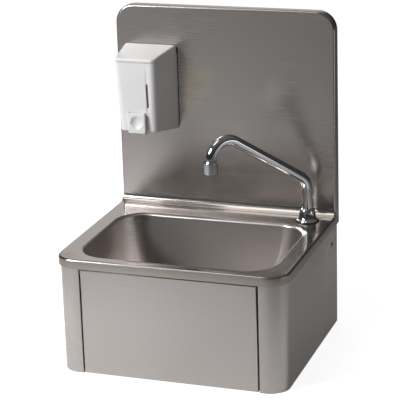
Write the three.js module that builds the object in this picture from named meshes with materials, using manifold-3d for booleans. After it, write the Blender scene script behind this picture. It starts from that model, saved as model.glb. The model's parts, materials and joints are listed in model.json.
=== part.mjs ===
// Knee-operated handwash basin: a pressed basin top with its splashback, a bowl, two wrapped
// side panels, a swinging knee panel that pushes a self-closing valve, a swivel spout and a
// soap dispenser. Millimetres, +Z up, +Y towards the wall. The origin is the middle of the
// footprint at floor level.
import * as THREE from 'three';
import { mergeVertices } from 'three/addons/utils/BufferGeometryUtils.js';
import Module from 'manifold-3d';

const wasm = await Module();
wasm.setup();

// Overall sizes
const width = 400;
const depth = 342;
const height = 565;
const deckTop = 202;
const sheet = 1.5;
const gap = 0.3;
const frontY = -depth / 2;
const wallY = depth / 2;

// Basin top and splashback
const rimDrop = 14.5;
const deckCorner = 36;
const deckEdge = 3.5;
const splashDepth = 16;
const splashY = wallY - splashDepth;
const splashHalf = width / 2 - sheet;
const splashCorner = 32;
const coveRadius = 15;

// Bowl
const bowl = { halfX: 170, halfY: 120, y: -30.5, corner: 50, wall: 1.2, floor: 72, flange: 12, drain: 22 };
const bowlTop = deckTop - sheet - gap;

// Side panels and knee panel
const skirtInset = 1.8;
const skirtX = width / 2 - skirtInset;
const skirtFrontY = frontY + skirtInset;
const skirtTop = bowlTop - sheet - 0.5;
const columnEdge = 155;
const columnReturnY = -145;
const panel = { half: 152.7, back: -143.2, low: 1, high: 185.5, sheet: 1.2 };
const pivot = { y: -157, z: 178 };
const stop = { y: -151, z: 39, radius: 2.5, swing: THREE.MathUtils.degToRad(4) };

// Knee valve
const valve = { x: 120, z: 38, neck: 11, barrel: 17, neckFront: -128, shoulder: -110.2, back: -30 };
const plungerFront = -155;
const plungerBack = plungerFront + 5.5;
const portSpacing = 28;

// Spout
const tap = { x: 158.65, y: 118, direction: 230, tube: 9, bore: 7.4, reach: 194 };
const spoutRise = THREE.MathUtils.degToRad(33.2);
const spoutCornerZ = 277;
const spoutTailZ = 208;
const spoutEndZ = 337.5;

// Soap dispenser
const soap = { x: -135.5, wall: 2.2, halfBack: 48.5, halfTop: 37.1, halfLow: 33.7, corner: 9 };
const soapFront = { top: 69, low: 79 };
const soapZ = { low: 355, lid: 482, top: 489 };
const soapBack = { low: 346, top: 498 };
const lidPin = { y: 145, z: 490, radius: 1.5 };
const lidRearY = 150;
const button = { half: 16, low: 355.5, high: 391, front: 69.6, back: 92 };
const pump = { y: 112, z: 376 };
const levelSlot = { left: 18.5, right: 22.5, low: 401, high: 444 };
const dispenserScrewHeights = [380, 460];

// Wall bracket and the two screws through the sides
const bracketZ = { low: 140, high: 172 };
const sideScrewAt = { y: 135, z: 156, radius: 2.5, end: 188 };

function finish(color, roughness, metalness) {
  return () => new THREE.MeshStandardMaterial({ color, roughness, metalness });
}

const brushedSteel = finish(0xa39c95, 0.38, 1);
const galvanised = finish(0x9a9c9e, 0.5, 1);
const chrome = finish(0xd5d6d8, 0.08, 1);
const brass = finish(0xb08d4a, 0.35, 1);
const rubber = finish(0x151515, 0.8, 0);
const whitePlastic = finish(0xe4e2e1, 0.3, 0);
const smokedLens = finish(0x4a403a, 0.2, 0);
const tankPlastic = finish(0xd6d6cf, 0.45, 0);
const springSteel = finish(0x8b8d90, 0.3, 1);

// Solids: a closed three.js geometry becomes a manifold solid for joining and cutting.

function signedVolume(points, corners) {
  const at = (i) => new THREE.Vector3().fromArray(points, 3 * i);
  let volume = 0;
  for (let i = 0; i < corners.length; i += 3) {
    volume += at(corners[i]).dot(at(corners[i + 1]).cross(at(corners[i + 2])));
  }
  return volume / 6;
}

function solid(geometry) {
  const bare = geometry.clone();
  bare.deleteAttribute('normal');
  bare.deleteAttribute('uv');
  const merged = mergeVertices(bare, 1e-4);
  const points = merged.attributes.position.array;
  const index = merged.index.array;
  const corners = [];
  for (let i = 0; i < index.length; i += 3) {
    const [a, b, c] = index.slice(i, i + 3);
    if (a !== b && b !== c && c !== a) corners.push(a, b, c);
  }
  if (signedVolume(points, corners) < 0) corners.reverse();
  return new wasm.Manifold(new wasm.Mesh({
    numProp: 3,
    vertProperties: Float32Array.from(points),
    triVerts: Uint32Array.from(corners),
  }));
}

function meshGeometry(body) {
  const mesh = body.getMesh();
  const geometry = new THREE.BufferGeometry();
  geometry.setAttribute('position', new THREE.BufferAttribute(mesh.vertProperties, 3));
  geometry.setIndex(new THREE.BufferAttribute(mesh.triVerts, 1));
  geometry.computeVertexNormals();
  return geometry;
}

function union(...bodies) {
  return bodies.reduce((whole, body) => whole.add(body));
}

function cut(body, ...tools) {
  return tools.reduce((rest, tool) => rest.subtract(tool), body);
}

function block([x0, x1], [y0, y1], [z0, z1]) {
  const box = new THREE.BoxGeometry(x1 - x0, y1 - y0, z1 - z0);
  return solid(box.translate((x0 + x1) / 2, (y0 + y1) / 2, (z0 + z1) / 2));
}

// Turns a geometry made along +Y so that it lies along the named axis.
function alongAxis(geometry, axis) {
  if (axis === 'x') geometry.rotateZ(-Math.PI / 2);
  if (axis === 'z') geometry.rotateX(Math.PI / 2);
  return geometry;
}

// A round rod along an axis; the centre gives the other two coordinates, in X, Y, Z order.
function rod(axis, [from, to], radius, [a, b], sides = 24) {
  const cylinder = new THREE.CylinderGeometry(radius, radius, to - from, sides);
  cylinder.translate(0, (from + to) / 2, 0);
  return solid(placeOnAxis(alongAxis(cylinder, axis), axis, [a, b]));
}

function placeOnAxis(geometry, axis, [a, b]) {
  if (axis === 'x') return geometry.translate(0, a, b);
  if (axis === 'y') return geometry.translate(a, 0, b);
  return geometry.translate(a, b, 0);
}

// A turned piece: profile points are [radius, distance along the axis], closed on itself.
function turned(axis, profile, centre, sides = 24) {
  const points = profile.map(([r, h]) => new THREE.Vector2(r, h));
  points.push(points[0].clone());
  return solid(placeOnAxis(alongAxis(new THREE.LatheGeometry(points, sides), axis), axis, centre));
}

function ring(axis, [from, to], inner, outer, centre, sides = 24) {
  return turned(axis, [[inner, from], [outer, from], [outer, to], [inner, to]], centre, sides);
}

function arc(cx, cy, radius, fromDegrees, toDegrees, steps) {
  const points = [];
  for (let i = 0; i <= steps; i += 1) {
    const angle = THREE.MathUtils.degToRad(fromDegrees + ((toDegrees - fromDegrees) * i) / steps);
    points.push(new THREE.Vector2(cx + radius * Math.cos(angle), cy + radius * Math.sin(angle)));
  }
  return points;
}

function roundedRectangle(halfX, halfY, radius, steps = 6, cx = 0, cy = 0) {
  return [
    ...arc(cx + halfX - radius, cy + halfY - radius, radius, 0, 90, steps),
    ...arc(cx - halfX + radius, cy + halfY - radius, radius, 90, 180, steps),
    ...arc(cx - halfX + radius, cy - halfY + radius, radius, 180, 270, steps),
    ...arc(cx + halfX - radius, cy - halfY + radius, radius, 270, 360, steps),
  ];
}

function extruded(outline, [z0, z1], bevel = 0) {
  const geometry = new THREE.ExtrudeGeometry(new THREE.Shape(outline), {
    depth: z1 - z0 - 2 * bevel,
    bevelEnabled: bevel > 0,
    bevelThickness: bevel,
    bevelSize: bevel,
    bevelOffset: -bevel,
    bevelSegments: 3,
  });
  return solid(geometry.translate(0, 0, z0 + bevel));
}

// Joins rings of equal point counts into a closed skin, with a flat cap at each end.
function loft(rings) {
  const count = rings[0].length;
  const positions = rings.flat().flatMap((point) => point.toArray());
  const index = [];
  for (let k = 0; k + 1 < rings.length; k += 1) {
    for (let i = 0; i < count; i += 1) {
      const a = k * count + i;
      const b = k * count + ((i + 1) % count);
      index.push(a, b, b + count, a, b + count, a + count);
    }
  }
  const last = (rings.length - 1) * count;
  for (let i = 1; i + 1 < count; i += 1) {
    index.push(0, i + 1, i, last, last + i, last + i + 1);
  }
  const geometry = new THREE.BufferGeometry();
  geometry.setAttribute('position', new THREE.Float32BufferAttribute(positions, 3));
  geometry.setIndex(index);
  return solid(geometry);
}

// Sheet metal bent along a path: the path is one face, the other lies a thickness to its left.
function offsetPath(path, distance) {
  return path.map((point, i) => {
    const before = point.clone().sub(path[Math.max(i - 1, 0)]).normalize();
    const after = path[Math.min(i + 1, path.length - 1)].clone().sub(point).normalize();
    if (i === 0) before.copy(after);
    if (i === path.length - 1) after.copy(before);
    const mean = before.clone().add(after).normalize();
    const reach = distance / mean.dot(before);
    return new THREE.Vector2(point.x - mean.y * reach, point.y + mean.x * reach);
  });
}

function bentSheet(path, thickness, heights) {
  return extruded([...path, ...offsetPath(path, thickness).reverse()], heights);
}

// Tubes and wires

class Bend extends THREE.Curve {
  constructor(centre, start, axis, angle) {
    super();
    Object.assign(this, { centre, start, axis, angle });
  }

  getPoint(t) {
    return this.start.clone().applyAxisAngle(this.axis, this.angle * t).add(this.centre);
  }
}

class Helix extends THREE.Curve {
  constructor(radius, from, to, turns) {
    super();
    Object.assign(this, { radius, from, to, turns });
  }

  getPoint(t) {
    const angle = 2 * Math.PI * this.turns * t;
    const y = this.from + (this.to - this.from) * t;
    return new THREE.Vector3(this.radius * Math.cos(angle), y, this.radius * Math.sin(angle));
  }
}

// A path of straight runs through the corner points, with a bend of its own radius at each.
function bentPath(corners, radii) {
  const path = new THREE.CurvePath();
  let from = corners[0];
  for (let i = 1; i + 1 < corners.length; i += 1) {
    const into = corners[i].clone().sub(corners[i - 1]).normalize();
    const out = corners[i + 1].clone().sub(corners[i]).normalize();
    const angle = into.angleTo(out);
    const tangent = radii[i - 1] * Math.tan(angle / 2);
    const axis = into.clone().cross(out).normalize();
    const start = corners[i].clone().addScaledVector(into, -tangent);
    const centre = start.clone().addScaledVector(axis.clone().cross(into), radii[i - 1]);
    path.add(new THREE.LineCurve3(from, start));
    path.add(new Bend(centre, start.clone().sub(centre), axis, angle));
    from = corners[i].clone().addScaledVector(out, tangent);
  }
  path.add(new THREE.LineCurve3(from, corners[corners.length - 1]));
  return path;
}

function tube(path, outer, inner, steps, sides = 14) {
  const section = new THREE.Shape(arc(0, 0, outer, 0, 360, sides).slice(0, sides));
  if (inner > 0) section.holes.push(new THREE.Path(arc(0, 0, inner, 0, 360, sides).slice(0, sides)));
  return solid(new THREE.ExtrudeGeometry(section, { steps, extrudePath: path, bevelEnabled: false }));
}

function spring(radius, wire, [from, to], turns, [x, z]) {
  const stepsPerTurn = 10;
  const path = new Helix(radius, from + wire, to - wire, turns);
  return tube(path, wire, 0, turns * stepsPerTurn, 6).translate([x, 0, z]);
}

const basin = new THREE.Group();

function add(name, body, material, parent = basin) {
  const mesh = new THREE.Mesh(meshGeometry(body), material());
  mesh.name = name;
  parent.add(mesh);
}

// Basin top: deck, rim, cove and splashback are one pressed and folded sheet.

function deckOutline(inset, backY) {
  const half = width / 2 - inset;
  const radius = deckCorner - inset;
  const front = frontY + inset;
  return [
    new THREE.Vector2(half, backY),
    new THREE.Vector2(-half, backY),
    ...arc(-half + radius, front + radius, radius, 180, 270, 8),
    ...arc(half - radius, front + radius, radius, 270, 360, 8),
  ];
}

function splashOutline(inset, lowZ) {
  const half = splashHalf - inset;
  const radius = splashCorner - inset;
  const top = height - inset;
  return [
    new THREE.Vector2(-half, lowZ),
    new THREE.Vector2(half, lowZ),
    ...arc(half - radius, top - radius, radius, 0, 90, 8),
    ...arc(-half + radius, top - radius, radius, 90, 180, 8),
  ];
}

// Extrudes an outline drawn in X and Z from the front face back to the wall.
function upright(outline, [y0, y1], bevel = 0) {
  const flat = extruded(outline, [0, y1 - y0], bevel);
  return flat.rotate([90, 0, 0]).translate([0, y1, 0]);
}

function basinTop() {
  const beyond = 20;
  const deck = extruded(deckOutline(0, wallY + beyond), [deckTop - 3 * rimDrop, deckTop], deckEdge)
    .intersect(block([-width, width], [-depth, wallY], [deckTop - rimDrop, height]));
  const splash = upright(splashOutline(0, deckTop - beyond), [splashY, wallY + beyond], 2)
    .intersect(block([-width, width], [0, wallY], [deckTop - sheet, height]));
  const coveY = splashY - coveRadius;
  const coveZ = deckTop + coveRadius;
  const acrossX = [-width, width];
  const coveFill = block([-splashHalf, splashHalf], [coveY, splashY + 1], [deckTop - 1, coveZ]);
  const cove = cut(coveFill, rod('x', acrossX, coveRadius, [coveY, coveZ], 48));
  const underDeck = extruded(deckOutline(sheet, wallY + beyond), [0, deckTop - sheet]);
  const behindSplash = upright(splashOutline(sheet, deckTop - 3), [splashY + sheet, wallY + beyond]);
  const innerHalf = splashHalf - sheet;
  const behindCove = cut(
    block([-innerHalf, innerHalf], [coveY, wallY + beyond], [deckTop - 5, coveZ]),
    rod('x', acrossX, coveRadius + sheet, [coveY, coveZ], 48),
  );
  const bowlHole = extruded(
    roundedRectangle(bowl.halfX, bowl.halfY, bowl.corner, 7, 0, bowl.y),
    [deckTop - 10, height],
  );
  const tapHole = rod('z', [deckTop - 10, deckTop + 10], 11, [tap.x, tap.y]);
  const screwHoles = dispenserScrewHeights.map((z) => (
    rod('y', [splashY - 5, splashY + 10], 2.4, [soap.x, z], 12)));
  const hollows = [underDeck, behindSplash, behindCove];
  return cut(union(deck, splash, cove), ...hollows, bowlHole, tapHole, ...screwHoles);
}

// Bowl: a drawn pan whose wall tapers into a rounded floor, with a welding flange at its top.

function bowlProfile() {
  const taper = 16;
  const fillet = 40;
  const filletTop = bowl.floor + fillet;
  const curve = arc(taper + fillet, filletTop, fillet, 180, 270, 5);
  return [new THREE.Vector2(0, bowlTop), ...curve, new THREE.Vector2(taper + fillet + 8, bowl.floor)];
}

function bowlRings(profile, grow) {
  return profile.map(({ x: inset, y: z }) => {
    const halfX = bowl.halfX - inset;
    const halfY = bowl.halfY - inset;
    const radius = Math.min(bowl.corner + grow, halfY - 1);
    return roundedRectangle(halfX, halfY, radius, 7, 0, bowl.y).map((p) => new THREE.Vector3(p.x, p.y, z));
  });
}

function bowlPan() {
  const inside = bowlProfile();
  const outside = offsetPath(inside, -bowl.wall);
  outside[0].y = bowlTop;
  const above = inside[0].clone().setY(deckTop);
  const { halfX, halfY, corner, flange: rim } = bowl;
  const flangeOutline = roundedRectangle(halfX + rim, halfY + rim, corner + rim, 7, 0, bowl.y);
  const flange = extruded(flangeOutline, [bowlTop - sheet, bowlTop]);
  return cut(
    union(loft(bowlRings(outside, bowl.wall)), flange),
    loft(bowlRings([above, ...inside], 0)),
    rod('z', [bowl.floor - 5, bowl.floor + 5], bowl.drain, [0, bowl.y], 24),
  );
}

// Side panels: flat side, rounded front corner, front column and a return beside the knee panel.

function holesInReturn(side, radius) {
  const span = side > 0 ? [columnEdge - 5, columnEdge + 5] : [-columnEdge - 5, -columnEdge + 5];
  return [pivot, stop].map(({ y, z }) => rod('x', span, radius, [y, z], 16));
}

function sidePanel(side) {
  const radius = deckCorner - skirtInset;
  const wallFlange = 15;
  const corner = arc(skirtX - radius, skirtFrontY + radius, radius, 0, -90, 8);
  const right = [
    new THREE.Vector2(skirtX - wallFlange, wallY),
    new THREE.Vector2(skirtX, wallY),
    ...corner,
    new THREE.Vector2(columnEdge, skirtFrontY),
    new THREE.Vector2(columnEdge, columnReturnY),
  ];
  const path = right.map((p) => new THREE.Vector2(side * p.x, p.y));
  const bent = bentSheet(path, -side * sheet, [0, skirtTop]);
  const screwSpan = side > 0 ? [skirtX - 5, skirtX + 5] : [-skirtX - 5, -skirtX + 5];
  const { y, z, radius: screwRadius } = sideScrewAt;
  const screwHole = rod('x', screwSpan, screwRadius + gap, [y, z], 12);
  return cut(bent, ...holesInReturn(side, stop.radius + gap), screwHole);
}

// A shouldered rivet through a column return and the knee panel's side.
function panelRivet(side, { y, z }, headRadius) {
  const panelInside = panel.half - panel.sheet;
  const tail = columnEdge + sheet + gap;
  const profile = [
    [0, panelInside - gap - 3],
    [headRadius, panelInside - gap - 3],
    [headRadius, panelInside - gap],
    [stop.radius, panelInside - gap],
    [stop.radius, tail],
    [headRadius - 0.5, tail],
    [headRadius - 0.5, tail + 1.5],
    [0, tail + 1.5],
  ];
  const rivet = turned('x', profile, [0, 0], 16);
  return (side > 0 ? rivet : rivet.mirror([1, 0, 0])).translate([0, y, z]);
}

// Knee panel: a tray that hangs on two rivets; slots in its sides ride over two stop rivets.

function slotX([x0, x1], [y0, z0], [y1, z1], radius) {
  const ends = [rod('x', [x0, x1], radius, [y0, z0], 16), rod('x', [x0, x1], radius, [y1, z1], 16)];
  return ends[0].add(ends[1]).hull();
}

function kneePanel() {
  const { half, back, low, high, sheet: t } = panel;
  const front = skirtFrontY;
  const tray = cut(
    block([-half, half], [front, back], [low, high]),
    block([-half + t, half - t], [front + t, back + 1], [low + t, high - t]),
    block([-half - 1, half + 1], [-155, back + 1], [high - 2 * t, high + 1]),
    block([-half + t, half - t], [-153, back + 1], [low - 1, low + 2 * t]),
  );
  const across = [-half - 1, half + 1];
  const armY = stop.y - pivot.y;
  const armZ = stop.z - pivot.z;
  const swungY = pivot.y + armY * Math.cos(stop.swing) + armZ * Math.sin(stop.swing);
  const stopSlot = slotX(across, [stop.y, stop.z], [swungY, stop.z], stop.radius + 0.4);
  return cut(tray, rod('x', across, stop.radius + gap, [pivot.y, pivot.z], 16), stopSlot);
}

// Knee valve: a bracket on the right side panel holds a body with two inlets and one outlet.

function valveBracket() {
  const plateY = valve.shoulder - gap - sheet;
  const inner = skirtX - sheet - gap;
  const reach = 24;
  const path = [
    new THREE.Vector2(valve.x - reach, plateY),
    new THREE.Vector2(inner, plateY),
    new THREE.Vector2(inner, plateY + reach),
  ];
  const bent = bentSheet(path, sheet, [valve.z - reach, valve.z + reach]);
  return cut(bent, rod('y', [plateY - 5, plateY + 5], valve.neck + gap, [valve.x, valve.z]));
}

function valveBody() {
  const { x, z, neck, barrel, neckFront, shoulder, back } = valve;
  const blockFront = back - 30;
  const barrelBack = blockFront + 5;
  const neckSide = [[0, neckFront], [neck, neckFront], [neck, shoulder]];
  const profile = [[0, barrelBack], ...neckSide, [barrel, shoulder], [barrel, barrelBack]];
  const bore = rod('y', [neckFront - 1, blockFront - 10], 5.4, [x, z]);
  const manifoldBlock = block([x - 28, x + 28], [blockFront, back], [z - 14, z + 14]);
  const ports = [-1, 1].map((side) => (
    rod('y', [back - 8, back + 1], 6, [x + (side * portSpacing) / 2, z], 16)));
  const outlet = rod('x', [x + 18, x + 29], 4, [(blockFront + back) / 2, z], 16);
  return cut(union(turned('y', profile, [x, z]), manifoldBlock), bore, ...ports, outlet);
}

function hexNut(axis, [from, to], acrossCorners, bore, centre) {
  return cut(rod(axis, [from, to], acrossCorners, centre, 6), rod(axis, [from - 1, to + 1], bore, centre));
}

function inletConnector(side) {
  const from = valve.back + gap;
  const centre = [valve.x + (side * portSpacing) / 2, valve.z];
  const end = from + 28;
  const profile = [[6, from], [9, from], [9, from + 12], [10.3, from + 13], [10.3, end], [6, end]];
  return union(turned('y', profile, centre), hexNut('y', [from + 3, from + 10], 12, 8, centre));
}

function checkValve(side) {
  const centre = [valve.x + (side * portSpacing) / 2, valve.z];
  return ring('y', [valve.back + 4, valve.back + 16], 2, 5.6, centre, 12);
}

function plunger() {
  const { x, z } = valve;
  const cap = arc(0, 0, 1, 90, 0, 4).map((p) => [8 * p.y, plungerFront + 2.5 * (1 - p.x)]);
  const tail = valve.shoulder + 15.2;
  const profile = [
    [0, plungerFront], ...cap.reverse().slice(1), [8, plungerBack], [5, plungerBack], [5, tail], [0, tail],
  ];
  return turned('y', profile, [x, z]);
}

// Feed: a formed tube from the valve's outlet, under the bowl and up to the tap's shank.

const feedY = valve.back - 15;
const shankEndZ = 165;
const feedNutX = valve.x + 28 + gap;

function feedTube() {
  const low = (x, y) => new THREE.Vector3(x, y, valve.z);
  const corners = [
    low(feedNutX + 6, feedY),
    low(180, feedY),
    low(180, tap.y),
    new THREE.Vector3(tap.x, tap.y, 74),
    new THREE.Vector3(tap.x, tap.y, shankEndZ - gap),
  ];
  return tube(bentPath(corners, [13, 13, 20]), 5, 3.8, 34, 8);
}

function feedValveNut() {
  const seat = feedNutX + 5.5;
  const end = feedNutX + 14;
  const profile = [[4, feedNutX], [8.5, feedNutX], [8.5, end], [5.3, end], [5.3, seat], [4, seat]];
  return turned('x', profile, [feedY, valve.z], 12);
}

function feedTapNut() {
  const low = shankEndZ - 8;
  const seat = shankEndZ - gap;
  const top = shankEndZ + 8;
  const profile = [[5.5, low], [13, low], [13, top], [10.5, top], [10.5, seat], [5.5, seat]];
  return turned('z', profile, [tap.x, tap.y], 24);
}

// Tap: flared base with its shank through the deck, collar nut, swivel spout and aerator.

const tapCentre = [tap.x, tap.y];
const gasketTop = deckTop + gap + 1.4;
const baseZ = gasketTop + gap;

const neckTop = baseZ + 13;

function tapBase() {
  const socketFloor = spoutTailZ - 1.5;
  const flare = [[20, baseZ], [20, baseZ + 2], [17.5, baseZ + 4], [14.5, baseZ + 7]];
  const neck = [[12.5, baseZ + 7.5], [12.5, neckTop], [11.3, neckTop], [11.3, socketFloor]];
  const profile = [[5.3, shankEndZ], [10, shankEndZ], [10, baseZ], ...flare, ...neck, [5.3, socketFloor]];
  return turned('z', profile, tapCentre, 24);
}

function collarNut() {
  const low = baseZ + 7.5 + gap;
  const hex = rod('z', [low, low + 9], 15, tapCentre, 6);
  const dome = arc(0, 0, 1, 0, 70, 5).map((p) => [tap.tube + gap + 4.2 * p.x, low + 9 + 6.5 * p.y]);
  const bore = tap.tube + gap;
  const crown = turned('z', [[bore, low + 5], [13.5, low + 5], ...dome, [bore, low + 15]], tapCentre, 24);
  const inside = rod('z', [low - 1, neckTop + gap], 12.5 + gap, tapCentre, 24);
  return cut(union(hex, crown), inside, rod('z', [low - 1, low + 20], bore, tapCentre, 24));
}

function spoutPath() {
  const point = (r, z) => new THREE.Vector3(r, 0, z);
  const topZ = spoutCornerZ + tap.reach * Math.tan(spoutRise);
  const riser = [point(0, spoutTailZ), point(0, spoutCornerZ)];
  const drop = [point(tap.reach, topZ), point(tap.reach, spoutEndZ)];
  return bentPath([...riser, ...drop], [30, 32]);
}

function oRing() {
  const section = arc(10.25, spoutTailZ + 3, 0.9, 0, 360, 8).slice(0, 8).map((p) => [p.x, p.y]);
  return turned('z', section, [0, 0], 24);
}

const aeratorZ = { low: 324.5, seat: 336.5, top: 347.5 };

function aeratorHousing() {
  const { low, seat, top } = aeratorZ;
  const outside = [[9.8, low], [11.5, low], [12, low + 1], [12, top - 3], [10.5, top]];
  const profile = [...outside, [9.3, top], [9.3, seat], [9.8, seat - 0.5]];
  return turned('z', profile, [tap.reach, 0]);
}

function aeratorInsert() {
  const { low, seat } = aeratorZ;
  const disc = rod('z', [low + 1.5, seat - 3], 9.5, [tap.reach, 0]);
  const jets = [];
  for (let k = 0; k < 6; k += 1) {
    const angle = (k * Math.PI) / 3;
    jets.push(rod('z', [low, seat], 1.6, [tap.reach + 5.5 * Math.cos(angle), 5.5 * Math.sin(angle)], 8));
  }
  return cut(disc, rod('z', [low, seat], 1.6, [tap.reach, 0], 8), ...jets);
}

// Waste: strainer, seal and back nut clamp the bowl's floor, with a straight tail below.

const drainCentre = [0, bowl.y];

function wasteStrainer() {
  const seat = bowl.floor + gap;
  const dish = [[31.5, seat], [31, seat + 1.2], [20, seat + 2.2], [17, seat + 1.6]];
  const profile = [[17, 42], [20, 42], [20, seat], ...dish];
  const grid = rod('z', [seat - 2, seat + 1], 17.5, drainCentre, 24);
  const holes = [rod('z', [seat - 3, seat + 2], 3, drainCentre, 12)];
  for (let k = 0; k < 6; k += 1) {
    const angle = (k * Math.PI) / 3;
    const centre = [10 * Math.cos(angle), bowl.y + 10 * Math.sin(angle)];
    holes.push(rod('z', [seat - 3, seat + 2], 3, centre, 12));
  }
  return union(turned('z', profile, drainCentre, 24), cut(grid, ...holes));
}

function wasteTail() {
  const profile = [[14, 4], [16, 4], [16, 32], [25, 36], [25, 52], [20.3, 52], [20.3, 41.5], [14, 41.5]];
  return turned('z', profile, drainCentre, 24);
}

// Wall bracket: a channel on the wall between the side panels, held by one screw on each side.

function wallBracket() {
  const x = skirtX - sheet - gap;
  const y = wallY - sheet - gap;
  const path = [[x, 120], [x, y], [-x, y], [-x, 120]].map(([a, b]) => new THREE.Vector2(a, b));
  const channel = bentSheet(path, sheet, [bracketZ.low, bracketZ.high]);
  const screws = rod('x', [-width, width], sideScrewAt.radius + gap, [sideScrewAt.y, sideScrewAt.z], 12);
  const wallHoles = [-120, 120].map((hole) => rod('y', [y - 5, y + 5], 4, [hole, sideScrewAt.z], 16));
  return cut(channel, screws, ...wallHoles);
}

function sideScrew(side) {
  const { y, z, radius, end } = sideScrewAt;
  const seat = skirtX + gap;
  const head = [[4.5, seat], [4.2, seat + 0.9], [3, seat + 1.4], [0, seat + 1.5]];
  const screw = turned('x', [[0, end], [radius, end], [radius, seat], ...head], [0, 0], 16);
  return (side > 0 ? screw : screw.mirror([1, 0, 0])).translate([0, y, z]);
}

// Soap dispenser: the case leans, so its plan narrows and steps back from lid to base.

function casePlan(z, inset) {
  const share = (z - soapZ.low) / (soapZ.top - soapZ.low);
  const front = THREE.MathUtils.lerp(soapFront.low, soapFront.top, share) + inset;
  const halfFront = THREE.MathUtils.lerp(soap.halfLow, soap.halfTop, share) - inset;
  const halfBack = soap.halfBack - inset;
  const radius = soap.corner - inset;
  return { front, halfFront, halfBack, radius };
}

// One ring round the case; the height may slope with the distance from the front.
function caseRing(zFront, zBack, inset, backY) {
  const { front, halfFront, halfBack, radius } = casePlan(zFront, inset);
  const lean = THREE.MathUtils.radToDeg(Math.atan2(halfBack - halfFront, splashY - front));
  const pull = radius * Math.tan(THREE.MathUtils.degToRad(45 - lean / 2));
  const cornerX = halfFront - pull;
  const outline = [
    new THREE.Vector2(halfBack, backY),
    new THREE.Vector2(-halfBack, backY),
    ...arc(-cornerX, front + radius, radius, 180 + lean, 270, 5),
    ...arc(cornerX, front + radius, radius, 270, 360 - lean, 5),
  ];
  return outline.map(({ x, y }) => {
    const share = (y - soapFront.top) / (splashY - soapFront.top);
    return new THREE.Vector3(x + soap.x, y, THREE.MathUtils.lerp(zFront, zBack, share));
  });
}

const caseLow = soapZ.low + 2;

function dispenserCase() {
  const backY = splashY - 2 * gap;
  const top = soapZ.lid - gap;
  const { wall } = soap;
  const outer = loft([caseRing(caseLow, soapBack.low, 0, backY), caseRing(top, top, 0, backY)]);
  const inner = loft([
    caseRing(caseLow + wall, soapBack.low + wall, wall, splashY + 5),
    caseRing(top + 5, top + 5, wall, splashY + 5),
  ]);
  const openingHalf = button.half + 0.5;
  const buttonOpening = block(
    [soap.x - openingHalf, soap.x + openingHalf], [60, 101], [soapZ.low - 20, button.high + 0.5],
  );
  const { left, right, low, high } = levelSlot;
  const slot = block([soap.x + left, soap.x + right], [60, 90], [low, high]);
  const nozzleHole = rod('z', [330, 370], 6, [soap.x, pump.y]);
  return cut(outer, inner, buttonOpening, slot, nozzleHole);
}

function dispenserLid() {
  const { wall } = soap;
  const slope = 1.5;
  const low = soapZ.lid;
  const outer = loft([
    caseRing(low, low, 0, lidRearY),
    caseRing(soapZ.top - slope, soapBack.top - slope, 0, lidRearY),
    caseRing(soapZ.top, soapBack.top, slope, lidRearY),
  ]);
  const inner = loft([
    caseRing(low - 5, low - 5, wall, lidRearY + 10),
    caseRing(soapZ.top - wall, soapBack.top - wall, wall, lidRearY + 10),
  ]);
  const relief = block([soap.x - 60, soap.x + 60], [lidPin.y, splashY + 5], [low - 6, lidPin.z - 4.5]);
  const pinHole = rod('x', [-200, -80], lidPin.radius + gap, [lidPin.y, lidPin.z], 12);
  return cut(outer, inner, relief, pinHole);
}

const backplateFront = splashY - gap - 3;

function dispenserBackplate() {
  const front = backplateFront;
  const plate = block([soap.x - 44, soap.x + 44], [front, splashY - gap], [352, soapZ.lid - 2]);
  const ears = [-41.5, 41.5].map((offset) => {
    const span = [soap.x + offset - 1.5, soap.x + offset + 1.5];
    const lug = union(
      block(span, [lidPin.y - 4, front + 0.1], [466, 479]),
      block(span, [lidPin.y - 4, lidPin.y + 4], [466, lidPin.z]),
      rod('x', span, 4, [lidPin.y, lidPin.z], 16),
    );
    return cut(lug, rod('x', [span[0] - 1, span[1] + 1], lidPin.radius + gap, [lidPin.y, lidPin.z], 12));
  });
  const screwHoles = dispenserScrewHeights.map((z) => (
    rod('y', [front - 5, splashY + 5], 2.4, [soap.x, z], 12)));
  return cut(union(plate, ...ears), ...screwHoles);
}

function dispenserScrew(z) {
  const seat = backplateFront - gap;
  const end = splashY + 5;
  const head = [[0, seat - 2.4], [2.5, seat - 2.2], [4, seat - 1], [4, seat]];
  return turned('y', [...head, [2, seat], [2, end], [0, end]], [soap.x, z], 12);
}

function levelWindow() {
  const lean = Math.atan2(soapFront.low - soapFront.top, soapZ.top - soapZ.low);
  const { left, right, low, high } = levelSlot;
  const middle = (low + high) / 2;
  const inside = casePlan(middle, soap.wall).front;
  const overlap = 3;
  const tall = (high - low) / 2 + 2 * overlap;
  const lens = block([soap.x + left - overlap, soap.x + right + overlap], [gap, 2 + gap], [-tall, tall]);
  return lens.rotate([THREE.MathUtils.radToDeg(lean), 0, 0]).translate([0, inside, middle]);
}

const tank = { half: 30, front: 83, back: 147, low: 398, high: 476, wall: 1.8 };

function soapTank() {
  const { half, front, back, low, high, wall } = tank;
  const room = half - wall;
  return cut(
    block([soap.x - half, soap.x + half], [front, back], [low, high]),
    block([soap.x - room, soap.x + room], [front + wall, back - wall], [low + wall, high + 1]),
    rod('z', [low - 5, low + 5], 4, [soap.x, pump.y], 16),
  );
}

const barrelFrontY = pump.y - 8;
const nozzleTop = 360;

function pumpBody() {
  const { y, z } = pump;
  const barrel = rod('y', [barrelFrontY, y + 18], 10, [soap.x, z]);
  const neck = rod('z', [nozzleTop, tank.low - gap], 5, [soap.x, y]);
  const pistonRoom = rod('y', [barrelFrontY - 1, y + 10], 4.4, [soap.x, z], 16);
  return cut(union(barrel, neck), pistonRoom);
}

function pumpNozzle() {
  return ring('z', [nozzleTop - 18, nozzleTop - gap], 2.5, 4.5, [soap.x, pump.y], 16);
}

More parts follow.
